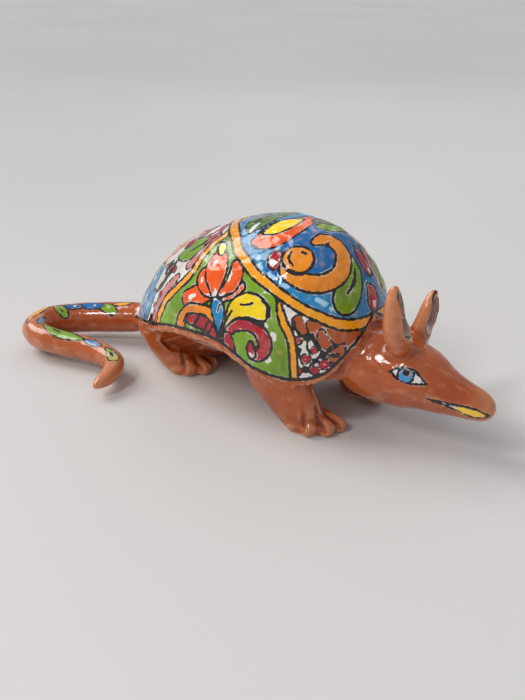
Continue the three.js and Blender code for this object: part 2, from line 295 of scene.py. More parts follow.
# On the crown the pale blue washes are painted reflections of the lamps on the blue glaze, and the
# lights on the green leaf at its top are painted highlights.
CREST = """
~pale_sky -85 37.5 1.8, -82.5 38 1.2
~pale_sky -80 41 1.3, -78 43.5 1.6
~pale_sky -72 45.5 2, -69 46.5 1.4
~pale_sky -62 49 1.6, -60 49 1.2
~pale_sky -41 53 1.3, -36 55 1.5
~pale_sky -32 57 1.2, -29 57 0.9
moss -103 25 1.6, -118 18 7, -150 13 9.5, 152 11 8.5, 122 9 2.5
flame -91 30 2.4, -88 27 6.6, -85 21 9.6, -76 13 8.6, -36 7 6, 36 9 3.5, 46 12 1
yellow -92 23 1.4, -90 19 4.2, -86 13 5.2, -68 6.5 3.2, 0 5 0.8
moss 7 10 0.6, 38 12 3, 52 18 2.2
leaf -4 14 1.2, 12 16 3.6, 30 19 4, 42 24 2.2
crimson -73 36.5 4.6, -72 38.5 4.2
leaf 1 35 0.8, -6 43 5.2, -13 48 7.4, -20 53 8, -23 57 3.5
amber -66 35 3.2, -63 41 4.6, -56 44.5 4.6, -48 46 4.8, -37 45.5 5, -24 42.5 4.9, -14 38 5,
  -6 32 5.2, -6 27 5.2, -14 23 4.6, -30 23 3.2, -38 24 2.2
amber -59 34.5 7.6, -56 34.5 7.8
line -64 31 0, -64.5 35 0.2, -60 38.5 0
line -54 30.5 0.3, -51 31 0.2
line -66 39.5 0, -61 42 0.2, -53 42 0.2, -48 39.5 0
line -24 27 0, -19 25.5 0.3, -13 24.5 0
line -3.5 41 0, -9 46 0.5, -18 50.5 0
line -120 19 0.2, -150 14 0.5, 160 12 0
light -101 26.5 0.8, -108 21.5 1.4, -116 17.5 0.5
light -74.5 38.5 1.8, -73 40 1.4
crimson 16 32 1, 11 38 3.4, 9 43 3.6, 7.5 46 1.5
crimson 1 50 1.6, 2 54 4.2, 1 58 4.6, 1 60 3
rose 27 34 1, 20 42 3, 16 50 3.2, 13 56 1.6
leaf 34 34 1.2, 31 44 5.4, 27 52 6.4, 24 57 2.4
amber 84 36 3, 80 41 4.4, 72 45 4.6, 62 46 4.8, 53 44 4.9, 47 38 5, 47 31 4.8, 54 26 4, 64 25 2.4
amber 74 35.5 6.8, 71 35.5 7
crimson 91 35 4, 90 37 3.8
flame 104 27 2.2, 106 22 5.4, 114 17 4.2, 126 15 1.2
line 79 33 0, 80 37 0.2, 75 40 0
line 30 41 0, 28 46 0.5, 27 52 0
line 54 30 0, 50 29 0.3, 46 28 0
light 1.5 58.5 1.6, 1.2 59.5 1.5
light 10 44 0.8, 9 46 0.4
light 92 37.5 1.4, 90.5 38.5 1.1
"""
RUMP = """
rose 110 53 2.6, 112 45 3.4, 116 38 2.6, 124 33 1.4
leaf 124 51.5 2.4, 122 47 6.7, 124 41 5.5, 130 36 1.8
crimson 133 46 1.9, 138 41 3.8, 146 36.5 4.1, 158 33 1.7
crimson 121 39 2.2, 126 35.5 3.4, 136 31 2.9, 152 28.5 1.4
amber 146 58 2.4, 143 51 4.1, 148 45 3.8, 160 40 3.8, 180 38 3.6
rose 110 60 1.9, 111 67 2.9, 112 75 2.6, 112.5 84 2
sky 133 59 3.4, 131 66 6.6, 127 72 5
sky 121 71 2.4, 124 77 6.2, 127 83 6.2, 128 88 3.6
sky 140 63 2.4, 141 71 6.6, 138 79 6.2, 134 85 2.6
leaf 151 52 1.8, 154 60 6.2, 152 68 6, 148 74 1.8
yellow 164 46 1.4, 166 53 4.8, 164 60 1.9
flame 180 48 3.6, 180 56 6.7, 180 64 5.3, 180 70 1.7
crimson 163 66 1.7, 164 72 4.8, 160 78 2.6
line 128 33 0, 122 40 0.4, 121 47 0
line 128 64 0, 128 70 0.2
line 126 76 0, 127 83 0.3
line 140 67 0, 139 75 0.3
line 153 56 0, 152 65 0.5
line 122 55 1.2, 119 59 1.8, 118 63 1.2
line 126 55 1, 124 58.5 1.9, 122 61 0.8
line 117 61 0.5, 118 67 1.6, 119 70 0.7
line 115 82 1.2, 116 86 2.4
"""
SHOULDER = """
terracotta 50 61.5 1, 50.5 64 3, 47.5 67 3, 45 68 1.2
terracotta 44 64 1.8, 40 66.5 4.4, 34 69 5.6, 27 70 5.6, 20 71 4.6, 14 70 3
terracotta 37 68 2.2, 35 72 3.4, 31 74 2.2
terracotta 31 76.5 2, 28 75 2.4, 25 77 2.6, 27.5 81 2, 31 80 1.2
berry 48.6 72.5 2.4
berry 39.8 76.2 2.2
berry 43.4 80.8 2.8
berry 33.6 83.2 3.1
berry 38.3 86.8 2.7
berry 46.4 87.8 2.6
berry 30 87.5 2.2
berry 127 58 2
berry 121 57 1.8
berry 117 58 2.2
berry 114 71 2
berry 115 77 2.1
berry 119 88 2.2
berry 156 74 2
line 44 70.5 1.9
line 47.3 77 1.3
line 35 78 1.7
line 38.5 81.5 1.2
line 42.5 86.5 1.9
line 42 69 0.5, 39 74 0.4, 35 77 0.3, 31 76 0.3, 26 73 0.2, 23 73 0.2
line 52 64 0.2, 50.5 67.5 0.4, 47 70 0.6, 44 69.5 0.8
line 29 79 0, 27 79.5 0.3, 26 77.5 0
line 24 79 0, 27 82 0.2, 30 84.5 0
line 44 71 0.5, 43 76 0.1, 39.5 81 0.2, 35 79 0.3
line 47 77 0.6, 46 81 0.1, 42.5 86 0.3
line 36 78 0.2, 39 82 0.5, 42 86 0.3
light 137 42 0.5, 146 37.5 0.9
light 127 35 1.4, 132 33 0.9
light 123 38 1.1, 124.5 36.5 0.7
light 125 76 1.1, 126 78.5 0.7
light 130 84 1.5, 130.5 86 1
light 134 64 1, 133 66 0.6
light 181 53 1.2, 181 56 0.8
"""

# On the head and the tail a place is x, y, z, half width, in millimetres. The head's are on
# the animal's right.
FACE = """
white 108.5 -19 48 0.3, 112 -18.5 48.2 2.3, 115.5 -18 48 3.9, 119 -17 47.8 4.1, 123 -16 46.8 2.8,
  127 -14.5 45.4 1, 129.5 -13.5 44.8 0.2
iris 117 -17.2 47.9 4.1, 117.6 -17.2 47.8 4.1
line 117.3 -17 49.2 1.6
line 107.5 -19.2 48.2 0.2, 111.5 -18.8 50.8 0.5, 115.5 -18 52.1 0.6, 119.5 -17 52.1 0.6,
  124 -15.5 49.8 0.5, 129.5 -13.5 45 0.2
light 117.5 -16.6 49.9 0.55
yellow 130 -15 37.2 0.2, 134 -14 36.6 0.4, 139 -12.2 36.2 0.9, 144 -11 35.4 1.5,
  149 -9.4 34.6 2.3, 153.5 -8 34 2.5, 157.5 -6.5 33.4 1.6, 160.5 -4 33 0.4
~white 130 -15 37.2 0.2, 134 -14 36.6 0.4, 139 -12.2 36.2 0.9, 144 -11 35.4 1.5
"""
TAIL_PAINT = """
orange -103 -12 29 0.8, -108 -16 28 2.6, -114 -21 27 1.2
leaf -110 -25 24 3, -115 -25.5 26 4.2, -119 -26.5 26 3
cobalt -122 -27 26 2.8, -127 -30.5 26 3.8, -131 -33 25.5 2.6
cobalt -133 -36 25 2.4, -137 -38.5 25 3.4, -140 -41 25 2.2
leaf -136 -46 21 2.4, -141 -45.5 24 3.4, -146 -46 24.5 2
orange -150 -50 24 1.4, -150.5 -57 24 3.4, -149 -64 23.5 3, -145 -70 21.5 1.2
sky -141 -60 22 1.8, -138.5 -64 22.5 2.6, -136 -67 22.5 1.8
leaf -131 -66 22 1.4, -124 -67 22 3.6, -115 -66.5 21.5 4.4, -105 -64.5 20.5 3.2, -97 -62.5 20 1
sky -93 -61.5 20 1.8, -88 -60.5 19.8 2.6, -83 -60 19.5 1.6
leaf -77 -59 19 0.8, -71 -61 18.5 2.8, -65 -63.5 17.8 3.8
line -125 -66 22.4 0, -119 -66.5 22 0.5, -114 -66.3 21.5 0
line -114 -25 26 0, -118 -26 26.5 0.2
line -142 -45.5 24 0, -139 -46 23 0.2
line -72 -60.5 18.7 0, -67 -62.5 18.3 0.4
light -124.5 -29 26.5 1.1, -125 -29.5 26.5 1
light -135.5 -37.5 25.5 1.1, -136 -38 25.5 0.9
light -87 -60.6 20 0.6, -85 -60.4 20 0.5
"""

# ---- the stage's sizes, in metres and degrees ----
# A lamp has its direction, its distance and its two sides.
CAMERA_TARGET = (25.3, -24.2, 36.3)  # in the potter's frame, in millimetres
FLOOR_HALF = 12
MAIN_LIGHT_FROM = (-0.70, -0.20, 0.72)
MAIN_LIGHT_SPREAD = 38
WINDOW_LAMP = ((-0.12, -0.76, 0.76), 1.0, (0.13, 0.22))
BACK_LAMP = ((-0.45, 0.75, 0.75), 1.3, (0.7, 0.5))
BACK_LAMP_SHARE = 0.45
ROOM_COLOUR = (0.93, 0.96, 1.0, 1)
ROOM_LIGHT = 0.46

# ---- formulas of the clay's surface ----


def smoothstep(value, low, high):
    share = np.clip((value - low) / (high - low), 0, 1)
    return share * share * (3 - 2 * share)


def signed_power(value, power):
    return np.sign(value) * np.abs(value) ** power


def unit(vectors):
    length = np.linalg.norm(vectors, axis=-1, keepdims=True)
    return vectors / np.maximum(length, 1e-9)


def curve_through(stations, where, evenly=False):
    """Points of a smooth curve through the stations. where runs from 0 to 1."""
    stations = np.asarray(stations, float)
    before = 2 * stations[0] - stations[1]
    after = 2 * stations[-1] - stations[-2]
    ring = np.vstack([before, stations, after])
    place = np.clip(where, 0, 1) * (len(stations) - 1)
    first = np.minimum(place.astype(int), len(stations) - 2)
    t = (place - first)[:, None]
    a, b, c, d = (ring[first + i] for i in range(4))

    def knot(start, end):
        if evenly:
            return np.ones((len(start), 1))
        return np.maximum(np.linalg.norm(end - start, axis=1) ** 0.5, 1e-4)[:, None]

    ab, bc, cd = knot(a, b), knot(b, c), knot(c, d)
    leaving = ((b - a) / ab - (c - a) / (ab + bc) + (c - b) / bc) * bc
    arriving = ((c - b) / bc - (d - b) / (bc + cd) + (d - c) / cd) * bc
    bend = 3 * (c - b) - 2 * leaving - arriving
    twist = 2 * (b - c) + leaving + arriving
    return b + leaving * t + bend * t ** 2 + twist * t ** 3


def widest_level(x):
    """The height at which the trunk is widest."""
    rump = smoothstep(-x, RUMP_START, RUMP_END)
    return FLANK_LEVEL + (RUMP_LEVEL - FLANK_LEVEL) * rump


def dome_power(turn):
    end = np.where(np.cos(turn) > 0, SHOULDER_POWER, RUMP_POWER)
    return FLANK_POWER + (end - FLANK_POWER) * np.cos(turn) ** 2


def trunk_point(turn, tilt, inset=0.0):
    """Points of the trunk's skin at a bearing from the head and a tilt from the crown."""
    upper = tilt <= math.pi / 2
    power = np.where(upper, dome_power(turn), UNDERSIDE_POWER)
    height = signed_power(np.cos(tilt), 2 / power)
    reach = np.abs(np.sin(tilt)) ** (2 / power)
    forward = signed_power(np.cos(turn), 2 / PLAN_POWER) * reach
    narrowing = 1 - RUMP_NARROWING * smoothstep(-forward, 0, 1)
    sideways = signed_power(np.sin(turn), 2 / PLAN_POWER) * reach * narrowing
    lean = np.where(upper, DOME_LEAN * np.abs(height) ** 1.5, 0)
    x = TRUNK_MIDDLE_X + lean + forward * (HALF_LENGTH - inset)
    y = sideways * (HALF_WIDTH - inset)
    level = widest_level(x)
    half = np.where(upper, TOP_Z - level, UNDERSIDE_DEPTH)
    return np.stack([x, y, level + height * (half - inset)], -1)


def rim_height(turn):
    """Height of the shell's edge at a bearing, the same on both flanks."""
    share = np.arccos(np.clip(np.cos(turn), -1, 1)) / math.pi
    return curve_through(np.array(RIM_HEIGHTS, float)[:, None], share, evenly=True)[:, 0]


def tilt_at(turn, z, inset=0.0):
    """The tilt at which the skin reaches height z, found by halving."""
    low = np.zeros_like(turn)
    high = np.full_like(turn, math.pi)
    for _ in range(30):
        middle = (low + high) / 2
        above = trunk_point(turn, middle, inset)[:, 2] > z
        low = np.where(above, middle, low)
        high = np.where(above, high, middle)
    return (low + high) / 2


def chart(points):
    """Bearing and tilt of points near the skin, and how far outside it they lie."""
    x, y, z = points.T
    level = widest_level(x)
    upper = z >= level
    half = np.where(upper, TOP_Z - level, UNDERSIDE_DEPTH)
    height = np.clip((z - level) / half, -1.3, 1.3)
    lean = np.where(upper, DOME_LEAN * np.minimum(np.abs(height), 1) ** 1.5, 0)
    forward = (x - TRUNK_MIDDLE_X - lean) / HALF_LENGTH
    narrowing = 1 - RUMP_NARROWING * smoothstep(-forward, 0, 1)
    sideways = y / HALF_WIDTH / narrowing
    plan = (np.abs(forward) ** PLAN_POWER + np.abs(sideways) ** PLAN_POWER) ** (1 / PLAN_POWER)
    straight = PLAN_POWER / 2
    turn = np.arctan2(signed_power(sideways, straight), signed_power(forward, straight))
    power = np.where(upper, dome_power(turn), UNDERSIDE_POWER)
    swell = (np.abs(height) ** power + plan ** power) ** (1 / power)
    cosine = signed_power(height / np.maximum(swell, 1e-6), power / 2)
    tilt = np.arccos(np.clip(cosine, -1, 1))
    span = np.sqrt((forward * HALF_LENGTH) ** 2 + y ** 2 + (height * half) ** 2)
    outside = span * (1 - 1 / np.maximum(swell, 1e-3))
    return turn, tilt, outside


def above_belly(points):
    """Keeps points of the trunk above the rounded belly."""
    slope = (points[:, 1] / HALF_WIDTH) ** 2
    belly = widest_level(points[:, 0]) + BELLY_EDGE - BELLY_DEPTH * (1 - slope)
    points[:, 2] = np.maximum(points[:, 2], belly)
    return points


def find_row_shift():
    """From the potter's frame to the model's, found from the frame's own carapace."""
    turn, share = np.meshgrid(np.arange(48) * math.tau / 48, np.arange(11) / 10)
    turn = turn.ravel()
    edge = tilt_at(turn, rim_height(turn))
    skin = trunk_point(turn, share.ravel() * edge)
    low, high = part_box("carapace")
    middle = (np.array(low) + np.array(high)) / 2 / MM
    shift = middle - (skin.min(0) + skin.max(0)) / 2
    return np.array([shift[0], shift[1], 0.0])


ROW_SHIFT = find_row_shift()

# ---- closed lumps of clay ----


def closed_grid(points):
    """Vertices and faces of a closed form from rows of rings, its first and last rows poles."""
    rows, around = points.shape[:2]
    ring = np.arange(around)
    ahead = (ring + 1) % around
    inner = points[1:-1].reshape(-1, 3)
    vertices = np.vstack([points[0, 0], inner, points[-1, 0]])
    last = len(vertices) - 1
    faces = [(0, 1 + b, 1 + a) for a, b in zip(ring, ahead)]
    for row in range(rows - 3):
        start = 1 + row * around
        for a, b in zip(ring, ahead):
            faces.append((start + a, start + b, start + around + b, start + around + a))
    start = 1 + (rows - 3) * around
    faces += [(last, start + a, start + b) for a, b in zip(ring, ahead)]
    return vertices, faces


def round_section(turn, _where):
    return np.cos(turn), np.sin(turn)


def leaf_section(opening):
    """A section of an ear, hollowed on the side that faces the opening's bearing."""
    bearing = math.radians(opening)
    mouth = math.radians(EAR_MOUTH)

    def section(turn, where):
        off = (turn - bearing + math.pi) % math.tau - math.pi
        across = np.sin(off)
        out = np.cos(off)
        inside = np.abs(off) < mouth
        bowl = 1 - (across / math.sin(mouth)) ** 2
        depth = EAR_HOLLOW * smoothstep(where, 0.38, 0.56) * (1 - smoothstep(where, 0.84, 0.97))
        hollow = math.cos(mouth) + (out - math.cos(mouth)) * (1 - depth / EAR_HOLLOW)
        out = np.where(inside, hollow - depth * bowl, out)
        side = out * math.cos(bearing) - across * math.sin(bearing)
        front = out * math.sin(bearing) + across * math.cos(bearing)
        return side, front

    return section


def sweep(stations, up, around=32, rows=40, section=round_section):
    """An oval section swept along the stations, with blunt ends."""
    stations = np.array(stations, float)
    where = (1 - np.cos(np.pi * np.linspace(0, 1, rows + 1))) / 2
    centre = curve_through(stations[:, :3], where)
    size = curve_through(stations[:, 3:], where)
    step = 1e-3
    ahead = unit(curve_through(stations[:, :3], where + step)
                 - curve_through(stations[:, :3], where - step))
    side = unit(np.cross(ahead, up))
    above = np.cross(side, ahead)
    rounding = np.sqrt(np.maximum(1 - np.abs(2 * where - 1) ** BLUNTNESS, 0))
    turn = np.arange(around) * math.tau / around
    across, front = section(turn[None, :], where[:, None])
    wide = (size[:, 0] * rounding)[:, None] * across
    high = (size[:, 1] * rounding)[:, None] * front
    points = centre[:, None] + wide[..., None] * side[:, None] + high[..., None] * above[:, None]
    return closed_grid(points)


def trunk_lump(around=160):
    """The shell's skin down to its edge, the step in under it, and the belly below."""
    turn = np.arange(around) * math.tau / around
    rim = rim_height(turn)
    outer = tilt_at(turn, rim)
    inner = tilt_at(turn, rim, LIP)
    rows = [trunk_point(turn, share * outer) for share in np.linspace(0, 1, 60)]
    for share in np.linspace(0, 1, 34):
        tilt = inner + share * (math.pi - inner)
        rows.append(above_belly(trunk_point(turn, tilt, LIP)))
    return closed_grid(np.array(rows))


def toe(ankle, tip, side):
    stations = [
        (ankle[0], ankle[1] * side, TOE_HEEL_HEIGHT / 2, TOE_HALF_WIDTH, TOE_HEEL_HEIGHT / 2),
        (tip[0], tip[1] * side, TOE_HEIGHT / 3, TOE_HALF_WIDTH, TOE_HEIGHT / 2),
    ]
    return sweep(stations, (0, 0, 1), 24, 24)


def leg_lumps(stations, ankle, tips, side):
    placed = [(x, y * side, z, wide, high) for x, y, z, wide, high in stations]
    return [sweep(placed, (0, 1, 0))] + [toe(ankle, tip, side) for tip in tips]


def clay_lumps():
    up = (0, 0, 1)
    facing = (1, 0, 0)
    lumps = [trunk_lump(), sweep(HEAD, up, 48, 60), sweep(TAIL, up, 32, 120)]
    lumps.append(sweep(EAR_RIGHT, facing, 72, 60, leaf_section(EAR_RIGHT_OPENING)))
    lumps.append(sweep(EAR_LEFT, facing, 72, 60, leaf_section(EAR_LEFT_OPENING)))
    for side in (1, -1):
        lumps += leg_lumps(FRONT_LEG, FRONT_ANKLE, FRONT_TOES, side)
        lumps += leg_lumps(HIND_LEG, HIND_ANKLE, HIND_TOES, side)
    return lumps


# ---- the joined clay as arrays ----


def put_in_scene(made):
    bpy.context.scene.collection.objects.link(made)


def join_lumps(lumps, grain):
    """Joins the lumps into one skin of small triangles: points in millimetres, triangles."""
    vertices = []
    faces = []
    for points, lump_faces in lumps:
        start = len(vertices)
        vertices += [tuple(point * MM) for point in points]
        faces += [tuple(int(i) + start for i in face) for face in lump_faces]
    mesh = bpy.data.meshes.new("clay lumps")
    mesh.from_pydata(vertices, [], faces)
    lumps_object = bpy.data.objects.new("clay lumps", mesh)
    put_in_scene(lumps_object)
    kneading = lumps_object.modifiers.new("knead", "REMESH")
    kneading.mode = "VOXEL"
    kneading.voxel_size = grain
    joined = lumps_object.evaluated_get(bpy.context.evaluated_depsgraph_get()).to_mesh()
    joined.calc_loop_triangles()
    points = np.empty(len(joined.vertices) * 3, np.float32)
    joined.vertices.foreach_get("co", points)
    triangles = np.empty(len(joined.loop_triangles) * 3, np.int32)
    joined.loop_triangles.foreach_get("vertices", triangles)
    bpy.data.objects.remove(lumps_object)
    bpy.data.meshes.remove(mesh)
    return points.reshape(-1, 3).astype(float) / MM, triangles.reshape(-1, 3)


def gather(count, at, values):
    """Sums the rows of values at the places given."""
    return np.stack([np.bincount(at, column, count) for column in values.T], -1)


def skin_normals(points, triangles):
    a, b, c = (points[triangles[:, i]] for i in range(3))
    faces = np.cross(b - a, c - a)
    total = sum(gather(len(points), triangles[:, i], faces) for i in range(3))
    return unit(total)


class Neighbours:
    """The mean of each point's neighbours."""

    def __init__(self, triangles, count):
        pairs = np.vstack([triangles[:, [0, 1]], triangles[:, [1, 2]], triangles[:, [2, 0]]])
        keys = np.unique(np.sort(pairs, axis=1).astype(np.int64) @ np.array([count, 1]))
        self.first = keys // count
        self.second = keys % count
        self.count = count
        self.number = np.bincount(self.first, minlength=count)
        self.number = self.number + np.bincount(self.second, minlength=count)

    def mean(self, values):
        total = gather(self.count, self.first, values[self.second])
        total += gather(self.count, self.second, values[self.first])
        return total / np.maximum(self.number, 1)[:, None]


def smooth_clay(points, triangles, passes):
    """Wipes the clay smooth, filling the corners where two lumps meet."""
    near = Neighbours(triangles, len(points))
    for _ in range(3):
        points = points + 0.5 * (near.mean(points) - points)
    fill = np.where(points[:, 2] < TOE_LEVEL, FILL_TOES, FILL)
    ear = (points[:, 0] > EARS_FROM_X) & (points[:, 2] > EARS_FROM_Z)
    fill = np.where(ear, FILL_EARS, fill)
    wear = np.where(ear, WEAR_EARS, WEAR)
    for step in range(passes):
        if step % 5 == 0:
            normals = skin_normals(points, triangles)
        move = near.mean(points) - points
        rise = (move * normals).sum(1)
        weight = np.where(rise > CREASE, fill, wear)
        points = points + weight[:, None] * move
    for _ in range(2):
        points = points + 0.5 * (near.mean(points) - points)
    return points, near


def carve_toes(points, normals):
    """How deep the potter's tool cut between the toes, at each point."""
    depth = np.zeros(len(points))
    for side in (1, -1):
        for ankle, tips in ((FRONT_ANKLE, FRONT_TOES), (HIND_ANKLE, HIND_TOES)):
            for one, other in zip(tips[:-1], tips[1:]):
                start = np.array([ankle[0], ankle[1] * side], float)
                middle = (np.array(one, float) + other) / 2 * (1, side)
                step = TOE_CUT_REACH * (middle - start)
                along = np.clip((points[:, :2] - start) @ step / (step @ step), 0, 1)
                away = points[:, :2] - start - along[:, None] * step
                gap = np.linalg.norm(away, axis=1)
                cut_here = TOE_CUT_DEPTH * np.exp(-(gap / TOE_CUT_WIDTH) ** 2)
                fade = 1 - smoothstep(points[:, 2], *TOE_CUT_FADE)
                cut_here *= smoothstep(along, *TOE_CUT_START) * fade
                depth = np.maximum(depth, cut_here)
    return depth * (normals[:, 2] > SOLE_FACING)


def hollows(points, normals, near):
    """From -1 on proud edges to 1 in the creases where glaze pools."""
    wiped = points
    for _ in range(POOL_PASSES):
        wiped = near.mean(wiped)
    return np.clip(((wiped - points) * normals).sum(1) / POOL_DEPTH, -1, 1)


def hand_marks(points, where, height, size):
    """The small dips and rises that a potter's fingers leave."""
    marks = np.zeros(len(points))
    for i in np.flatnonzero(where):
        spot = Vector(points[i]) / size
        marks[i] = noise.noise(spot) + 0.4 * noise.noise(spot * 2.1)
    return marks * height


# ---- the painter ----


class Brush:
    """Colours laid one after another, with the black line that bounds each.

    ink is the distance to the nearest line and white the distance outside a white mark,
    which is partly white paint and partly a painted highlight.
    fineness is how much thinner than usual, on each side, the lines are drawn.
    """

    FAR = 9.0
    REACH = 4  # how far outside a mark its distance is worked out
    fineness = 0.0

    def __init__(self, points):
        self.points = points
        self.colour = np.tile(COLOURS["terracotta"], (len(points), 1))
        self.ink = np.full(len(points), self.FAR)
        self.white = np.full(len(points), self.FAR)

    def reach(self, path):
        """Distance of the points near a path from its edge, and which points they are."""
        path = np.asarray(path, float)
        if len(path) > 2:
            path = curve_through(path, np.linspace(0, 1, 5 * len(path)))
        path[:, 3] = np.maximum(path[:, 3], 0)
        margin = path[:, 3].max() + self.REACH
        low = path[:, :3].min(0) - margin
        high = path[:, :3].max(0) + margin
        near = np.flatnonzero(((self.points > low) & (self.points < high)).all(1))
        place = self.points[near]
        distance = np.full(len(near), self.FAR)
        for start, end in zip(path[:-1], path[1:]):
            step = (end - start)[:3]
            along = (place - start[:3]) @ step / max(step @ step, 1e-9)
            along = np.clip(along, 0, 1)
            centre = start[:3] + along[:, None] * step
            radius = start[3] + along * (end[3] - start[3])
            gap = np.linalg.norm(place - centre, axis=1) - radius
            distance = np.minimum(distance, gap)
        return near, distance

    def fill(self, path, colour):
        near, distance = self.reach(path)
        inside = distance < 0
        self.colour[near[inside]] = COLOURS[colour]
        self.white[near[inside]] = self.FAR
        edge = np.abs(distance) + self.fineness
        self.ink[near] = np.where(inside, edge, np.minimum(self.ink[near], edge))

    # A wash has no outline: the white of the mouth's paint, and the pale blue painted reflections
    # on the crown.
    def wash(self, path, colour):
        near, distance = self.reach(path)
        self.colour[near[distance < 0]] = COLOURS[colour]

    def line(self, path):
        near, distance = self.reach(path)
        line = np.maximum(distance, -1) + self.fineness
        self.ink[near] = np.minimum(self.ink[near], line)

    # A white mark: white paint, and in places a painted highlight for the glaze's reflections.
    def light(self, path):
        near, distance = self.reach(path)
        self.white[near] = np.minimum(self.white[near], distance)

    # A crimson berry with a small white dot, partly paint and partly a painted highlight.
    def berry(self, path):
        self.fill(path, "crimson")
        self.light(path * (1, 1, 1, BERRY_LIGHT))

    def paint(self, table, place):
        """Paints a table's marks in order. place turns its numbers into points."""
        for mark in table.strip().replace(",\n", ",").splitlines():
            kind, spots = mark.split(None, 1)
            path = place([[float(n) for n in spot.split()] for spot in spots.split(",")])
            if len(path) == 1:
                path = np.vstack([path, path])
            if kind in COLOURS:
                self.fill(path, kind)
            elif kind.startswith("~"):
                self.wash(path, kind[1:])
            else:
                getattr(self, kind)(path)


def on_shell(path, side):
    """Places of the chart as points on the skin, on the left flank (1) or the right (-1)."""
    path = np.asarray(path, float).reshape(-1, 3)
    skin = trunk_point(np.radians(path[:, 0] * side), np.radians(path[:, 1]))
    return np.column_stack([skin, path[:, 2]])


def paint_grounds(brush, turn, tilt):
    """The colour behind the marks in each panel of the shell."""
    bearing = np.degrees(np.abs(turn))
    slope = np.degrees(tilt)
    front = np.array(BAND_FRONT)[::-1]
    rear = np.array(BAND_REAR[2:])
    shoulder = np.array(BAND_SHOULDER)
    crown = slope < np.interp(bearing, front[:, 0], front[:, 1])
    behind = bearing > np.interp(slope, rear[:, 1], rear[:, 0])
    ahead = bearing < np.interp(slope, shoulder[:, 1], shoulder[:, 0])
    brush.colour[:] = COLOURS["leaf"]
    brush.colour[ahead] = COLOURS["white"]
    brush.colour[behind] = COLOURS["white"]
    brush.colour[crown] = COLOURS["sky"]
    deep = crown & (bearing < DEEP_BLUE_TURN) & (slope < DEEP_BLUE_TILT)
    brush.colour[deep] = COLOURS["cobalt"]


def paint_flank(brush, side):
    """One flank: the flower, the rump's petals, the shoulder's scrolls, and the bands."""
    def place(path):
        return on_shell(path, side)

    for table, fineness in ((FLANK, 0.0), (RUMP, FINE), (SHOULDER, FINER)):
        brush.fineness = fineness
        brush.paint(table, place)
    brush.fineness = 0.0
    for band in (BAND_REAR, BAND_SHOULDER, BAND_FRONT):
        brush.fill(place(band), "orange")


def paint_rim(brush, turn, line_height):
    """The terracotta border along the shell's edge, and the line above it."""
    edge = trunk_point(turn, tilt_at(turn, rim_height(turn)))
    height = np.linalg.norm(brush.points - edge, axis=1)
    under = brush.points[:, 2] < edge[:, 2]
    height = np.where(under, 0, height)
    border = height < line_height
    brush.colour[border] = COLOURS["terracotta"]
    brush.white[border] = Brush.FAR
    line = np.abs(height - line_height) - RIM_LINE_WIDENING
    brush.ink = np.where(border, line, np.minimum(brush.ink, line))


def paint_shell(points, line_height):
    brush = Brush(points)
    turn, tilt, _ = chart(points)
    paint_grounds(brush, turn, tilt)
    brush.paint(CREST, lambda path: on_shell(path, 1))
    paint_flank(brush, 1)
    paint_flank(brush, -1)
    paint_rim(brush, turn, line_height)
    return brush


def on_head(path, side):
    """Places on the animal's right (-1), or the same places on its left (1)."""
    path = np.array(path, float).reshape(-1, 4)
    path[:, 1] *= -side
    return path


def paint_ear(brush, stations, opening):
    """The brown inside of an ear and the black line round its opening."""
    stations = np.array(stations, float)
    bearing = math.radians(opening)
    where = np.linspace(*EAR_PAINT, 12)
    centre = curve_through(stations[:, :3], where)
    size = curve_through(stations[:, 3:], where)
    centre[:, 0] += size[:, 1] * EAR_PAINT_OUT * math.sin(bearing)
    centre[:, 1] += size[:, 0] * EAR_PAINT_OUT * math.cos(bearing)
    across = np.hypot(size[:, 0] * math.sin(bearing), size[:, 1] * math.cos(bearing))
    brush.fill(np.column_stack([centre, across * EAR_PAINT_WIDTH]), "ear_brown")


def paint_head(points):
    brush = Brush(points)
    brush.fineness = FINE
    brush.paint(FACE, lambda path: on_head(path, -1))
    brush.paint(FACE, lambda path: on_head(path, 1))
    paint_ear(brush, EAR_RIGHT, EAR_RIGHT_OPENING)
    paint_ear(brush, EAR_LEFT, EAR_LEFT_OPENING)
    return brush


def paint_tail(points):
    brush = Brush(points)
    brush.fineness = FINE
    brush.paint(TAIL_PAINT, np.array)
    return brush


# ---- cutting the joined clay into its pieces ----


def beyond(points, seam):
    place, out = seam
    return (points - place) @ np.array(out)


def seam_fields(points):
    """One column for each seam, positive on the side of the piece that it frees."""
    x, y, z = points.T
    turn, _, outside = chart(points)
    right_ear = np.minimum(beyond(points, EAR_RIGHT_SEAM), -y)
    left_ear = np.minimum(beyond(points, EAR_LEFT_SEAM), y)
    tail_root = np.minimum(outside - TAIL_ROOT_LAP, TAIL_ROOT_X - x)
    curl = np.minimum(CURL_Y - y, CURL_X - x)
    front_paw = np.maximum(PAW_BACK_X - x, PAW_TOP - z)
    back, front = HIND_SEAM_X
    low, high = HIND_SEAM_Z
    hind_top = low + (high - low) * (x - back) / (front - back)
    hind = np.minimum(hind_top - z, HIND_LEG_FRONT_X - x)
    return {
        "ear_right": np.minimum(right_ear, x - EARS_FROM_X),
        "ear_left": np.minimum(left_ear, x - EARS_FROM_X),
        "tail": np.maximum(tail_root, curl),
        "carapace": np.minimum(z - rim_height(turn) + SHELL_LAP, SHELL_FRONT_X - x),
        "leg_front": np.minimum(np.minimum(FRONT_LEG_TOP - z, x), front_paw),
        "leg_hind": np.minimum(hind, y - CURL_Y),
        "head": np.minimum(x - HEAD_BACK_X, z - HEAD_BOTTOM),
    }


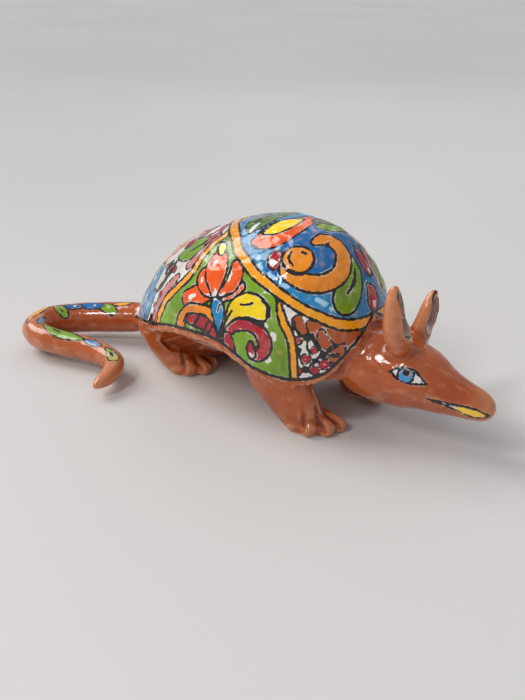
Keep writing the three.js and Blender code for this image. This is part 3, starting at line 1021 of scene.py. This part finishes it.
def cut(data, triangles, column):
    """Cuts the triangles where a column changes sign, so that each lies on one side."""
    value = data[:, column]
    value[np.abs(value) < 1e-3] = 1e-3
    side = value[triangles] > 0
    positive = side.sum(1)
    mixed = (positive == 1) | (positive == 2)
    whole = triangles[~mixed]
    crossed = triangles[mixed]
    alone = side[mixed] == (positive[mixed] == 1)[:, None]
    first = alone.argmax(1)
    rows = np.arange(len(crossed))
    a, b, c = (crossed[rows, (first + i) % 3] for i in range(3))
    pairs = np.sort(np.vstack([np.column_stack([a, b]), np.column_stack([a, c])]), axis=1)
    keys, which = np.unique(pairs @ np.array([len(data), 1], np.int64), return_inverse=True)
    start = keys // len(data)
    end = keys % len(data)
    share = (value[start] / (value[start] - value[end]))[:, None]
    new = data[start] * (1 - share) + data[end] * share
    new[:, column] = 0
    ab = len(data) + which.ravel()[:len(crossed)]
    ac = len(data) + which.ravel()[len(crossed):]
    parts = [np.column_stack(corners) for corners in ((a, ab, ac), (ab, b, c), (ab, c, ac))]
    return np.vstack([data, new]), np.vstack([whole] + parts)


class Clay:
    """The joined, painted clay, cut along its seams. A row of data is one point.

    Its columns are place, normal and colour, INK, WHITE and POOL, then those in columns.
    """

    # The column after the ink holds the distance outside the white marks: white paint and painted
    # highlights.
    INK, WHITE, POOL, SEAMS = 9, 10, 11, 12

    def __init__(self, form):
        points, triangles = join_lumps(clay_lumps(), form.grain)
        points, near = smooth_clay(points, triangles, form.smoothing)
        normals = skin_normals(points, triangles)
        turn, _, outside = chart(points)
        shell = points[:, 2] > rim_height(turn) - SHELL_PAINT_UNDER
        shell &= (outside < SHELL_PAINT_DEPTH) & (points[:, 0] < SHELL_FRONT_X)
        rough = hand_marks(points, shell, form.shell_marks / MM, SHELL_MARK_SIZE)
        rough += hand_marks(points, ~shell, form.clay_marks / MM, CLAY_MARK_SIZE)
        rough -= carve_toes(points, normals)
        points = points + normals * rough[:, None]
        normals = skin_normals(points, triangles)
        pool = hollows(points, normals, near)
        brush = self.painted(points, shell, form.rim_line_height / MM)
        seams = seam_fields(points)
        self.columns = {name: self.SEAMS + i for i, name in enumerate([*seams, "ground"])}
        data = np.column_stack(
            [points, normals, brush.colour, brush.ink, brush.white, pool]
            + list(seams.values()) + [points[:, 2]])
        for column in self.columns.values():
            data, triangles = cut(data, triangles, column)
        above = data[triangles, self.columns["ground"]].mean(1) > 0
        self.data = data
        self.triangles = triangles[above]
        self.label()

    def painted(self, points, shell, line_height):
        """Paints the shell, the head and the tail, each by its own marks."""
        brush = Brush(points)
        x, y = points[:, 0], points[:, 1]
        tail = (x < TAIL_PAINT_FROM_X) | ((y < CURL_Y) & (x < CURL_X))
        steps = ((x > FACE_FROM_X, paint_head), (tail, paint_tail),
                 (shell, lambda places: paint_shell(places, line_height)))
        for where, paint in steps:
            done = paint(points[where])
            brush.colour[where] = done.colour
            brush.ink[where] = done.ink
            brush.white[where] = done.white
        return brush

    def label(self):
        """Names the piece that each triangle belongs to."""
        middle = self.data[self.triangles].mean(1)
        self.names = np.full(len(self.triangles), "belly", dtype="U20")
        for name in ("head", "leg_hind", "leg_front", "carapace", "tail", "ear_left", "ear_right"):
            found = middle[:, self.columns[name]] > 0
            self.names[found] = name
        for leg in ("leg_front", "leg_hind"):
            mine = self.names == leg
            left = middle[:, 1] > 0
            self.names[mine & left] = leg + "_left"
            self.names[mine & ~left] = leg + "_right"

    def piece(self, name):
        """The vertex data and the triangles of one piece, numbered from 0."""
        mine = self.triangles[self.names == name]
        used, numbered = np.unique(mine, return_inverse=True)
        return self.data[used], numbered.reshape(-1, 3)


def boundary(triangles):
    """Directed edges that only one triangle has."""
    edges = np.vstack([triangles[:, [0, 1]], triangles[:, [1, 2]], triangles[:, [2, 0]]])
    keys = np.sort(edges, axis=1) @ np.array([triangles.max() + 1, 1], np.int64)
    _, place, count = np.unique(keys, return_index=True, return_counts=True)
    return edges[place[count == 1]]


def inner_skin(data, triangles, rows=7):
    """The inside of the shell's wall, from its edge up to the crown."""
    edges = boundary(triangles)
    loop = np.unique(edges)
    numbered = {vertex: i for i, vertex in enumerate(loop)}
    turn, tilt, _ = chart(data[loop, :3])
    points = []
    for share in np.linspace(1, 0, rows, endpoint=False):
        points.append(trunk_point(turn, share * (tilt - WALL_EDGE), SHELL_WALL))
    start = len(data)
    levels = [loop] + [start + i * len(loop) + np.arange(len(loop)) for i in range(rows)]
    crown = start + rows * len(loop)
    points.append(trunk_point(np.zeros(1), np.zeros(1), SHELL_WALL))
    a = np.array([numbered[v] for v in edges[:, 0]])
    b = np.array([numbered[v] for v in edges[:, 1]])
    faces = []
    for low, high in zip(levels[:-1], levels[1:]):
        faces += [(int(low[j]), int(low[i]), int(high[i]), int(high[j])) for i, j in zip(a, b)]
    faces += [(int(levels[-1][j]), int(levels[-1][i]), int(crown)) for i, j in zip(a, b)]
    return np.vstack(points), faces


CLAY = {}


def settings():
    scene = bpy.context.scene
    return scene.pottery_form, scene.pottery_glaze, scene.pottery_stage


def mesh_of(name, data, triangles, extra_points, extra_faces):
    """A mesh of the painted skin with its hidden inside, its seams shaded as if whole."""
    points = np.vstack([data[:, :3], extra_points]) + ROW_SHIFT
    faces = [tuple(map(int, t)) for t in triangles] + extra_faces
    mesh = bpy.data.meshes.new(name)
    mesh.from_pydata([tuple(p) for p in points * MM], [], faces)
    if not extra_faces:
        fill_holes(mesh)
    count = len(mesh.vertices)
    padded = np.zeros((count, Clay.SEAMS))
    padded[:len(data)] = data[:, :Clay.SEAMS]
    # white carries the white marks: white paint and painted highlights.
    layers = (("ink", Clay.INK, Brush.FAR), ("white", Clay.WHITE, Brush.FAR),
              ("pool", Clay.POOL, 0))
    for label, column, rest in layers:
        layer = mesh.attributes.new(label, "FLOAT", "POINT")
        values = padded[:, column].copy()
        values[len(data):] = rest
        layer.data.foreach_set("value", values.astype(np.float32))
    colour = np.ones((count, 4))
    colour[:, :3] = COLOURS["terracotta"]
    colour[:len(data), :3] = padded[:len(data), 6:9]
    layer = mesh.color_attributes.new("paint", "FLOAT_COLOR", "POINT")
    layer.data.foreach_set("color", colour.ravel().astype(np.float32))
    shade_whole(mesh, padded[:, 3:6], len(triangles))
    return mesh


def fill_holes(mesh):
    work = bmesh.new()
    work.from_mesh(mesh)
    open_edges = [edge for edge in work.edges if edge.is_boundary]
    bmesh.ops.holes_fill(work, edges=open_edges, sides=0)
    work.to_mesh(mesh)
    work.free()


def shade_whole(mesh, normals, skin_faces):
    """Gives each face of the skin the joined clay's own normals, so that no seam shows."""
    smooth = np.zeros(len(mesh.polygons), bool)
    smooth[:skin_faces] = True
    mesh.polygons.foreach_set("use_smooth", smooth)
    corners = np.empty(len(mesh.loops), np.int32)
    mesh.loops.foreach_get("vertex_index", corners)
    custom = unit(normals)[corners]
    custom[3 * skin_faces:] = 0
    mesh.normals_split_custom_set([tuple(n) for n in custom])


def make_piece(name, finish):
    data, triangles = CLAY["clay"].piece(name)
    extra_points, extra_faces = np.empty((0, 3)), []
    if name == "carapace":
        extra_points, extra_faces = inner_skin(data, triangles)
    mesh = mesh_of(name + "_clay", data, triangles, extra_points, extra_faces)
    mesh.materials.append(glaze(finish))
    piece = bpy.data.objects.new(name + "_clay", mesh)
    put_in_scene(piece)
    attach(piece, BODY)
    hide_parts(name)
    return piece


# ---- glazes ----


def node(tree, kind, inputs=None, **choices):
    made = tree.nodes.new(kind)
    for key, value in choices.items():
        setattr(made, key, value)
    for key, value in (inputs or {}).items():
        if isinstance(value, bpy.types.NodeSocket):
            tree.links.new(value, made.inputs[key])
        else:
            made.inputs[key].default_value = value
    return made


def clay_noise(tree, place, scale, detail=3.0, roughness=0.55, distortion=0.0):
    inputs = {"Vector": place, "Scale": scale, "Detail": detail}
    inputs["Roughness"] = roughness
    inputs["Distortion"] = distortion
    return node(tree, "ShaderNodeTexNoise", inputs).outputs["Fac"]


def ramp(tree, value, low, high, start=0.0, end=1.0):
    inputs = {"Value": value, "From Min": low, "From Max": high}
    inputs["To Min"] = start
    inputs["To Max"] = end
    made = node(tree, "ShaderNodeMapRange", inputs, clamp=True, interpolation_type="SMOOTHSTEP")
    return made.outputs["Result"]


def maths(tree, operation, a, b):
    return node(tree, "ShaderNodeMath", {0: a, 1: b}, operation=operation).outputs[0]


def mix(tree, factor, a, b, blend="MIX"):
    made = node(tree, "ShaderNodeMix", data_type="RGBA", blend_type=blend)
    for key, value in ((0, factor), (6, a), (7, b)):
        if isinstance(value, bpy.types.NodeSocket):
            tree.links.new(value, made.inputs[key])
        else:
            made.inputs[key].default_value = value if key == 0 else (*value[:3], 1)
    return made.outputs[2]


def attribute(tree, name, output="Fac"):
    return node(tree, "ShaderNodeAttribute", attribute_name=name).outputs[output]


def new_finish(name):
    material = bpy.data.materials.new(name)
    material.use_nodes = True
    material.node_tree.nodes.clear()
    return material, material.node_tree


def finished(tree, inputs):
    shader = node(tree, "ShaderNodeBsdfPrincipled", inputs)
    node(tree, "ShaderNodeOutputMaterial", {"Surface": shader.outputs[0]})
    return shader


def washed(tree, place, colour, streaks):
    """The wash of a brush: blotches of thick and thin glaze and fine streaks."""
    broad = clay_noise(tree, place, 34, 2.0, 0.5, 0.4)
    fine = clay_noise(tree, streaks, 240, 4.0, 0.6)
    thick = mix(tree, 1.0, colour, THICK_TINT, "MULTIPLY")
    thin = mix(tree, 0.16, colour, THIN_TINT)
    shaded = mix(tree, ramp(tree, broad, 0.45, 0.72, 0, 0.6), colour, thick)
    return mix(tree, ramp(tree, fine, 0.50, 0.76, 0, 0.9), shaded, thin)


def pooled(tree, colour, edge_wear):
    """Darker where glaze pools in the creases, and clay showing on the proud edges."""
    pool = attribute(tree, "pool")
    deep = mix(tree, 1.0, colour, POOL_TINT, "MULTIPLY")
    colour = mix(tree, ramp(tree, pool, 0.12, 1.0, 0, 0.85), colour, deep)
    proud = ramp(tree, pool, -0.9, -0.25, edge_wear, 0.0)
    return mix(tree, proud, colour, THIN_EDGE)


def shaken(tree, place, value, amount):
    """A distance as a hand-held brush would keep it."""
    wobble = clay_noise(tree, place, 420, 2.0)
    return maths(tree, "ADD", value, ramp(tree, wobble, 0.3, 0.7, -amount, amount))


def lined(tree, place, colour, ground, look):
    """Bare ground beside the lines, the white marks (white paint and painted highlights), then the
    lines themselves.
    """
    half = look.line_width / MM / 2
    unsteady = shaken(tree, place, attribute(tree, "ink"), 0.28)
    beside = ramp(tree, unsteady, half + 0.25, half + 0.75, 1.0, 0.0)
    bare = ramp(tree, clay_noise(tree, place, 130, 2.0), 0.5, 0.62, 0.0, 0.7)
    colour = mix(tree, maths(tree, "MULTIPLY", beside, bare), colour, ground)
    # The white marks: white paint and, in places, painted highlights.
    mark = shaken(tree, place, attribute(tree, "white"), 0.3)
    colour = mix(tree, ramp(tree, mark, -0.2, 0.2, 1.0, 0.0), colour, look.white)
    line = ramp(tree, unsteady, half - 0.14, half + 0.14, 1.0, 0.0)
    return mix(tree, line, colour, look.line), line


def wiped_soles(tree, place):
    """1 where the soles were wiped down to the unglazed clay."""
    height = node(tree, "ShaderNodeSeparateXYZ", {"Vector": place}).outputs["Z"]
    return ramp(tree, shaken(tree, place, height, 0.0004), 0.0008, 0.0014, 1.0, 0.0)


def rippled(tree, place, streaks, line, depth):
    """The glaze's ripple and pits, with the lines standing a little proud."""
    ripple = clay_noise(tree, place, 150, 2.0, 0.5)
    pits = clay_noise(tree, streaks, 600, 3.0, 0.6)
    relief = maths(tree, "ADD", ripple, maths(tree, "MULTIPLY", pits, 0.16))
    relief = maths(tree, "ADD", relief, maths(tree, "MULTIPLY", line, 0.10))
    inputs = {"Height": relief, "Strength": 0.55, "Distance": depth}
    return node(tree, "ShaderNodeBump", inputs).outputs[0]


def glaze(finish):
    """A glossy glaze over brushed colour, its lines and white marks (white paint and painted
    highlights) from the clay's paint.
    """
    name = "brushed_" + finish
    if name in bpy.data.materials:
        return bpy.data.materials[name]
    look = settings()[1]
    stretch, ground = BRUSHED[finish]
    material, tree = new_finish(name)
    place = node(tree, "ShaderNodeTexCoord").outputs["Object"]
    streaks = node(tree, "ShaderNodeMapping", {"Vector": place, "Scale": stretch}).outputs[0]
    colour = washed(tree, place, attribute(tree, "paint", "Color"), streaks)
    colour = pooled(tree, colour, look.edge_wear)
    colour, line = lined(tree, place, colour, ground, look)
    wiped = wiped_soles(tree, place)
    colour = mix(tree, wiped, colour, BARE_CLAY)
    patchy = ramp(tree, clay_noise(tree, place, 60, 3.0), 0.3, 0.75, look.gloss, look.gloss + 0.1)
    roughness = maths(tree, "MAXIMUM", patchy, maths(tree, "MULTIPLY", wiped, 0.7))
    bump = rippled(tree, place, streaks, line, look.ripple)
    shader = finished(tree, {"Base Color": colour, "Roughness": roughness, "Normal": bump})
    shader.inputs["IOR"].default_value = 1.5
    shader.inputs["Coat Weight"].default_value = 0.25
    shader.inputs["Coat Roughness"].default_value = 0.025
    return material


# ---- the stage ----


def floor_finish(look):
    material, tree = new_finish("studio_paper")
    place = node(tree, "ShaderNodeTexCoord").outputs["Object"]
    cloud = clay_noise(tree, place, 1.6, 2.0)
    grain = clay_noise(tree, place, 900, 2.0)
    tint = tuple(look.floor)
    darker = tuple(0.94 * c for c in tint)
    colour = mix(tree, ramp(tree, cloud, 0.3, 0.7), tint, darker)
    rough = ramp(tree, grain, 0.2, 0.8, 0.55, 0.75)
    bump = node(tree, "ShaderNodeBump",
                {"Height": grain, "Strength": 0.05, "Distance": 0.0002}).outputs[0]
    finished(tree, {"Base Color": colour, "Roughness": rough, "Normal": bump})
    return material


def lamp(name, direction, distance, size, power, target):
    """A soft rectangular lamp that faces the target."""
    data = bpy.data.lights.new(name, "AREA")
    data.shape = "RECTANGLE"
    data.size, data.size_y = size
    data.energy = power
    made = bpy.data.objects.new(name, data)
    away = Vector(direction).normalized()
    made.location = target + away * distance
    made.rotation_mode = "QUATERNION"
    made.rotation_quaternion = away.to_track_quat("Z", "Y")
    put_in_scene(made)
    return made


def sky_light(name, direction, strength):
    """An even light from far off, as soft as an overcast window."""
    data = bpy.data.lights.new(name, "SUN")
    data.energy = strength
    data.angle = math.radians(MAIN_LIGHT_SPREAD)
    made = bpy.data.objects.new(name, data)
    made.rotation_mode = "QUATERNION"
    made.rotation_quaternion = Vector(direction).to_track_quat("Z", "Y")
    put_in_scene(made)


# ---- what a user may change ----


LENGTH = {"subtype": "DISTANCE", "unit": "LENGTH"}
TINT = {"subtype": "COLOR", "size": 3, "min": 0, "max": 1}
ANGLE = {"subtype": "ANGLE", "unit": "ROTATION"}


class POTTERY_PG_form(bpy.types.PropertyGroup):
    grain: bpy.props.FloatProperty(
        name="Grain", description="Size of the smallest facet of the clay",
        default=0.0009, min=0.0004, max=0.003, precision=4, **LENGTH)
    smoothing: bpy.props.IntProperty(
        name="Wiping", description="How many times the joins are wiped smooth",
        default=38, min=0, max=200)
    shell_marks: bpy.props.FloatProperty(
        name="Shell Marks", description="Height of the finger marks on the shell",
        default=0.00055, min=0, max=0.003, precision=5, **LENGTH)
    clay_marks: bpy.props.FloatProperty(
        name="Body Marks", description="Height of the finger marks on head, legs and tail",
        default=0.0003, min=0, max=0.003, precision=5, **LENGTH)
    rim_line_height: bpy.props.FloatProperty(
        name="Rim Line Height", description="How far the black line runs above the shell's edge",
        default=0.0055, min=0, max=0.02, precision=4, **LENGTH)


class POTTERY_PG_glaze(bpy.types.PropertyGroup):
    line_width: bpy.props.FloatProperty(
        name="Line Width", description="Width of the black brush lines",
        default=0.0015, min=0.0005, max=0.005, precision=4, **LENGTH)
    line: bpy.props.FloatVectorProperty(
        name="Line Colour", description="Colour of the brush lines",
        default=COLOURS["black"], **TINT)
    # The white marks are white paint and painted highlights.
    white: bpy.props.FloatVectorProperty(
        name="White", description="Colour of the white marks",
        default=COLOURS["white"], **TINT)
    gloss: bpy.props.FloatProperty(
        name="Roughness", description="Roughness of the glaze where it is smoothest",
        default=0.045, min=0, max=1, subtype="FACTOR")
    ripple: bpy.props.FloatProperty(
        name="Ripple", description="Depth of the ripple in the glaze",
        default=0.0009, min=0, max=0.005, precision=5, **LENGTH)
    edge_wear: bpy.props.FloatProperty(
        name="Thin Edges", description="How far the clay shows through on proud edges",
        default=0.35, min=0, max=1, subtype="FACTOR")


class POTTERY_PG_stage(bpy.types.PropertyGroup):
    floor: bpy.props.FloatVectorProperty(
        name="Floor", description="Colour of the studio paper",
        default=(0.66, 0.635, 0.615), **TINT)
    key: bpy.props.FloatProperty(
        name="Main Light", description="Strength of the large soft light",
        default=1.75, min=0)
    window: bpy.props.FloatProperty(
        name="Window Lamp", description="Power of the small lamp that the glaze mirrors",
        default=2.6, min=0, unit="POWER")
    azimuth: bpy.props.FloatProperty(
        name="Camera Bearing", description="Camera's bearing round the figure",
        default=math.radians(40), **ANGLE)
    elevation: bpy.props.FloatProperty(
        name="Camera Elevation", description="Camera's angle above the floor",
        default=math.radians(26), **ANGLE)
    distance: bpy.props.FloatProperty(
        name="Camera Distance", description="From the camera to the point it looks at",
        default=0.473, min=0.1, **LENGTH)
    lens: bpy.props.FloatProperty(
        name="Lens", description="Focal length of the camera",
        default=41.14, min=10, unit="CAMERA")


# ---- operators ----


class POTTERY_OT_model_clay(bpy.types.Operator):
    """Join, wipe and paint the clay, and find its seams"""
    bl_idname = "pottery.model_clay"
    bl_label = "Model and Paint the Clay"

    def execute(self, context):
        CLAY["clay"] = Clay(settings()[0])
        return {"FINISHED"}


class PieceOperator:
    """Makes pieces from the modelled clay."""
    pieces = ()
    finish = TERRACOTTA

    def execute(self, context):
        if "clay" not in CLAY:
            raise RuntimeError("model the clay first")
        for name in self.pieces:
            make_piece(name, self.finish)
        return {"FINISHED"}


class POTTERY_OT_carapace(PieceOperator, bpy.types.Operator):
    """Make the painted shell"""
    bl_idname = "pottery.carapace"
    bl_label = "Carapace"
    pieces = ("carapace",)
    finish = PAINTED


class POTTERY_OT_belly(PieceOperator, bpy.types.Operator):
    """Make the belly under the shell"""
    bl_idname = "pottery.belly"
    bl_label = "Belly"
    pieces = ("belly",)


class POTTERY_OT_head(PieceOperator, bpy.types.Operator):
    """Make the head with its painted eyes and mouth"""
    bl_idname = "pottery.head"
    bl_label = "Head"
    pieces = ("head",)


class POTTERY_OT_ears(PieceOperator, bpy.types.Operator):
    """Make the two ears"""
    bl_idname = "pottery.ears"
    bl_label = "Ears"
    pieces = ("ear_left", "ear_right")


class POTTERY_OT_legs(PieceOperator, bpy.types.Operator):
    """Make the four legs with their toes"""
    bl_idname = "pottery.legs"
    bl_label = "Legs"
    pieces = ("leg_front_left", "leg_front_right", "leg_hind_left", "leg_hind_right")


class POTTERY_OT_tail(PieceOperator, bpy.types.Operator):
    """Make the curled tail with its painted leaves"""
    bl_idname = "pottery.tail"
    bl_label = "Tail"
    pieces = ("tail",)


class POTTERY_OT_stage(bpy.types.Operator):
    """Lay the floor, hang the lamps and set the camera"""
    bl_idname = "pottery.stage"
    bl_label = "Stage"

    def execute(self, context):
        look = settings()[2]
        target = Vector((CAMERA_TARGET + ROW_SHIFT) * MM)
        self.lay_floor(look)
        sky_light("main light", MAIN_LIGHT_FROM, look.key)
        lamp("window lamp", *WINDOW_LAMP, look.window, target)
        lamp("back lamp", *BACK_LAMP, look.window * BACK_LAMP_SHARE, target)
        self.light_room()
        self.set_camera(look, target)
        return {"FINISHED"}

    def lay_floor(self, look):
        corners = [(x * FLOOR_HALF, y * FLOOR_HALF, 0)
                   for x, y in ((-1, -1), (1, -1), (1, 1), (-1, 1))]
        mesh = bpy.data.meshes.new("studio_floor")
        mesh.from_pydata(corners, [], [(0, 1, 2, 3)])
        mesh.materials.append(floor_finish(look))
        floor = bpy.data.objects.new("studio_floor", mesh)
        put_in_scene(floor)

    def light_room(self):
        world = bpy.data.worlds.new("studio room")
        world.use_nodes = True
        background = world.node_tree.nodes["Background"]
        background.inputs["Color"].default_value = ROOM_COLOUR
        background.inputs["Strength"].default_value = ROOM_LIGHT
        bpy.context.scene.world = world

    def set_camera(self, look, target):
        data = bpy.data.cameras.new("camera")
        data.sensor_width = 36
        data.lens = look.lens
        data.clip_start = 0.01
        data.clip_end = 60
        camera = bpy.data.objects.new("camera", data)
        level = math.cos(look.elevation)
        back = Vector((math.sin(look.azimuth) * level, -math.cos(look.azimuth) * level,
                       math.sin(look.elevation)))
        camera.location = target + back * look.distance
        camera.rotation_mode = "QUATERNION"
        camera.rotation_quaternion = (-back).to_track_quat("-Z", "Y")
        put_in_scene(camera)
        bpy.context.scene.camera = camera
        bpy.context.scene.view_settings.view_transform = "Standard"


STEPS = (
    POTTERY_OT_model_clay,
    POTTERY_OT_carapace,
    POTTERY_OT_belly,
    POTTERY_OT_head,
    POTTERY_OT_ears,
    POTTERY_OT_legs,
    POTTERY_OT_tail,
    POTTERY_OT_stage,
)


class POTTERY_PT_panel(bpy.types.Panel):
    """Lists the steps of the armadillo and what may be changed"""
    bl_label = "Pottery Armadillo"
    bl_idname = "POTTERY_PT_panel"
    bl_space_type = "VIEW_3D"
    bl_region_type = "UI"
    bl_category = "Pottery"

    def draw(self, context):
        for group in settings():
            box = self.layout.box()
            for name in group.__annotations__:
                box.prop(group, name)
        for step in STEPS:
            self.layout.operator(step.bl_idname)


GROUPS = (POTTERY_PG_form, POTTERY_PG_glaze, POTTERY_PG_stage)
PLACES = ("pottery_form", "pottery_glaze", "pottery_stage")


def register():
    for cls in GROUPS + STEPS + (POTTERY_PT_panel,):
        bpy.utils.register_class(cls)
    for place, group in zip(PLACES, GROUPS):
        setattr(bpy.types.Scene, place, bpy.props.PointerProperty(type=group))


def unregister():
    for place in PLACES:
        delattr(bpy.types.Scene, place)
    for cls in reversed(GROUPS + STEPS + (POTTERY_PT_panel,)):
        bpy.utils.unregister_class(cls)


def main():
    register()
    for step in STEPS:
        family, action = step.bl_idname.split(".")
        getattr(getattr(bpy.ops, family), action)()


if __name__ == "__main__":
    main()
